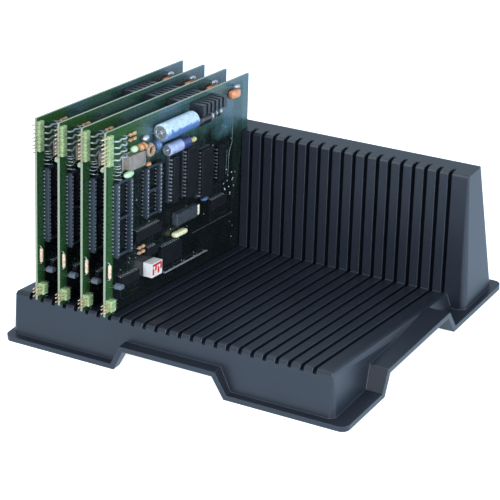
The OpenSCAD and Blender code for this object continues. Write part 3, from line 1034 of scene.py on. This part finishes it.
# Place and size of each bead, in mm on the board
green_dip = finish_of("pale_green_dip", (0.46, 0.66, 0.40), 0.35, patch=0.002, vary=0.12)
blue_dip = finish_of("blue_dip", (0.07, 0.13, 0.27), 0.3, patch=0.002, vary=0.15)
brown_dip = finish_of("brown_dip", (0.50, 0.24, 0.10), 0.4, patch=0.002, vary=0.2)
bead_kinds = (
    ("green_beads", green_dip, "pale_sleeve", (((4.6, 25, 112.6), (5, 6, 4.4)),
                                               ((4.6, 19, 97.2), (4.6, 10.5, 4.4)))),
    ("blue_beads", blue_dip, "blue_sleeve", (((3.6, 113.5, 54.2), (4.4, 7.5, 3.2)),
                                             ((5, 51.5, 108.5), (7, 5, 7)))),
    ("silver_beads", bare_aluminium, "steel_can", (((3, 40.5, 115.5), (4, 6.5, 4.5)),
                                                   ((3.6, 152.5, 124.6), (4, 6, 2.6)))),
    ("brown_beads", brown_dip, "resistor", (((5.4, 30.5, 112.6), (6.5, 2.6, 4.6)),
                                            ((5.4, 34.5, 112.6), (6.5, 2.6, 4.6)),
                                            ((4, 42, 98), (4.5, 5, 3)))))
bead_places = []
for name, finish, slot, kind in bead_kinds:
    beads = [(Vector(at) * MM, Vector(size) * MM) for at, size in kind]
    on_every_board(joined(name, [drop(*bead) for bead in beads], finish, 60))
    bead_places += [at for at, _ in beads]

# Each bead's two leads go straight into the board, with a joint behind it
lead_gap = 2.5 * MM
bead_leads = []
part_joints = []
for at in bead_places:
    sides = (at.y - lead_gap / 2, at.y + lead_gap / 2)
    bead_leads.append(wire([[Vector((at.x, y, at.z)), Vector((0, y, at.z))] for y in sides], 0.6 * MM,
                           "bead_leads", smooth=False))
on_every_board(joined("bead_leads", bead_leads, tinned))
for at in bead_places:
    part_joints += [solder_cone(at.y + side * lead_gap / 2, at.z) for side in (-1, 1)]
for low, high in main_can + small_cans + rods:
    z = axis_of((low, high))[1]
    for y in (low.y - 1.8 * MM, high.y + 1.8 * MM):
        part_joints.append(solder_cone(y, z, 1.05 * MM, 0.3 * MM, 0.8 * MM))
on_every_board(joined("part_joints", part_joints, tinned))

# Toroid: enamelled wire wound round a brown core
coil_at = Vector((4.4 * MM, 43.5 * MM, 107.2 * MM))
core_r = 3.4 * MM
core_t = 1.5 * MM
bpy.ops.object.select_all(action="DESELECT")
bpy.ops.mesh.primitive_torus_add(major_radius=core_r, minor_radius=core_t, major_segments=32,
                                 minor_segments=12, location=coil_at, rotation=(0, math.pi / 2, 0))
core = settle()
core_finish = finish_of("toroid_core", (0.30, 0.20, 0.14), 0.5, patch=0.002)
on_every_board(joined("toroid_core", [core], core_finish, 60))
turns = []
turn_count = 16
for k in range(turn_count):
    angle = 2 * math.pi * k / turn_count
    centre = coil_at + Vector((0, core_r * math.cos(angle), core_r * math.sin(angle)))
    bpy.ops.object.select_all(action="DESELECT")
    bpy.ops.mesh.primitive_torus_add(major_radius=core_t + 0.25 * MM, minor_radius=0.28 * MM,
                                     major_segments=16, minor_segments=6, location=centre,
                                     rotation=(math.pi / 2 + angle, 0, 0))
    turns.append(settle())
enamel = finish_of("enamelled_copper", (0.66, 0.42, 0.24), 0.3, metallic=0.5, patch=0.002)
on_every_board(joined("toroid_winding", turns, enamel, 60))

# Transistor: D-shaped body on three leads
transistor_at = Vector((5.2, 8.2, 23.4)) * MM
flat_at = transistor_at - Vector((0, 0, 1.1 * MM))
bpy.ops.object.select_all(action="DESELECT")
bpy.ops.mesh.primitive_cylinder_add(vertices=28, radius=2.4 * MM, depth=4.8 * MM,
                                    location=transistor_at, rotation=(0, math.pi / 2, 0))
transistor = settle()
bpy.ops.object.mode_set(mode="EDIT")
bpy.ops.mesh.select_all(action="SELECT")
bpy.ops.mesh.bisect(plane_co=flat_at, plane_no=(0, 0, -1), use_fill=True, clear_outer=True)
bpy.ops.object.mode_set(mode="OBJECT")
steel_grey = finish_of("transistor_grey", (0.12, 0.14, 0.17), 0.35, patch=0.003)
on_every_board(joined("transistor", [transistor], steel_grey))
y, z = transistor_at.yz
transistor_paths = [[Vector((3 * MM, y + 1.27 * k * MM, z)), Vector((0, y + 1.9 * k * MM, z - abs(k) * MM))]
                    for k in (-1, 0, 1)]
transistor_leads = wire(transistor_paths, 0.55 * MM, "transistor_leads", smooth=False)
on_every_board(joined("transistor_leads", [transistor_leads], tinned))

# Bus bar: a tinned strip on edge with feet, along the lower edge
bar_z = 13.6 * MM
bar_pieces = [brick((1.3 * MM, 54 * MM, 0.7 * MM), (1.0 * MM, 67 * MM, bar_z), 0.1 * MM)]
foot = brick((1.1 * MM, 1.2 * MM, 0.7 * MM), (0, 68 * MM, bar_z))
bar_pieces.append(in_row(foot, (0, 12.7 * MM, 0), 5))
on_every_board(joined("bus_bar", bar_pieces, lead_finish))

# ---------------------------------------------------------------------------
# Stage
# A pale floor that runs out of sight, three soft lamps, and a surround that
# is white to the camera and lights the object with a cool, even light.

bpy.ops.object.select_all(action="DESELECT")
bpy.ops.mesh.primitive_plane_add(size=12, location=(0, 0, -0.0002))
floor = bpy.context.object
floor.name = "floor"
pale = bpy.data.materials.new("pale_floor")
pale.use_nodes = True
tree = pale.node_tree
shader = tree.nodes["Principled BSDF"]
shader.inputs["Base Color"].default_value = (0.62, 0.76, 0.94, 1)
shader.inputs["Roughness"].default_value = 0.9
path = tree.nodes.new("ShaderNodeLightPath")
seen = combine(tree, "MAXIMUM", path.outputs["Is Camera Ray"], path.outputs["Is Glossy Ray"])
tree.links.new(combine(tree, "MULTIPLY", seen, 0.92), shader.inputs["Emission Strength"])
cool_white = blend_colours(tree, path.outputs["Is Glossy Ray"], (1.0, 1.0, 1.0), (0.72, 0.88, 1.0))
tree.links.new(cool_white, shader.inputs["Emission Color"])
floor.data.materials.append(pale)

world = bpy.data.worlds.new("surround")
bpy.context.scene.world = world
world.use_nodes = True
tree = world.node_tree
sky = tree.nodes["Background"]
path = tree.nodes.new("ShaderNodeLightPath")
seen_white = blend_colours(tree, path.outputs["Is Camera Ray"], (0.68, 0.84, 1.0), (1.0, 1.0, 1.0))
tree.links.new(seen_white, sky.inputs["Color"])
seen = combine(tree, "MAXIMUM", path.outputs["Is Camera Ray"], path.outputs["Is Glossy Ray"])
level = tree.nodes.new("ShaderNodeMapRange")
level.inputs["To Min"].default_value = 0.60
level.inputs["To Max"].default_value = 1.0
tree.links.new(seen, level.inputs["Value"])
tree.links.new(level.outputs["Result"], sky.inputs["Strength"])

centre = Vector((0, 0, 0.06))


def lamp(name, place, size, power, colour=(1, 1, 1)):
    """Soft rectangular lamp that faces the middle of the object."""
    light = bpy.data.lights.new(name, "AREA")
    light.size = size
    light.energy = power
    light.color = colour
    holder = bpy.data.objects.new(name, light)
    bpy.context.collection.objects.link(holder)
    holder.location = place
    holder.rotation_euler = (centre - Vector(place)).to_track_quat("-Z", "Y").to_euler()


lamp("key_lamp", (0.35, -1.5, 0.70), 0.7, 18, (0.92, 0.96, 1.0))
lamp("side_lamp", (1.5, -0.2, 0.40), 0.9, 20, (0.82, 0.92, 1.0))
lamp("top_lamp", (-0.5, -0.3, 1.5), 0.6, 5)

camera = bpy.data.cameras.new("camera")
camera.lens = 153.1
camera.sensor_width = 36
camera.clip_end = 30
camera_holder = bpy.data.objects.new("camera", camera)
bpy.context.collection.objects.link(camera_holder)
camera_holder.location = (0.6732, -1.0818, 0.6911)
camera_holder.rotation_euler = [math.radians(a) for a in (63.188, 2.176, 30.828)]
bpy.context.scene.camera = camera_holder
bpy.context.scene.view_settings.view_transform = "Standard"
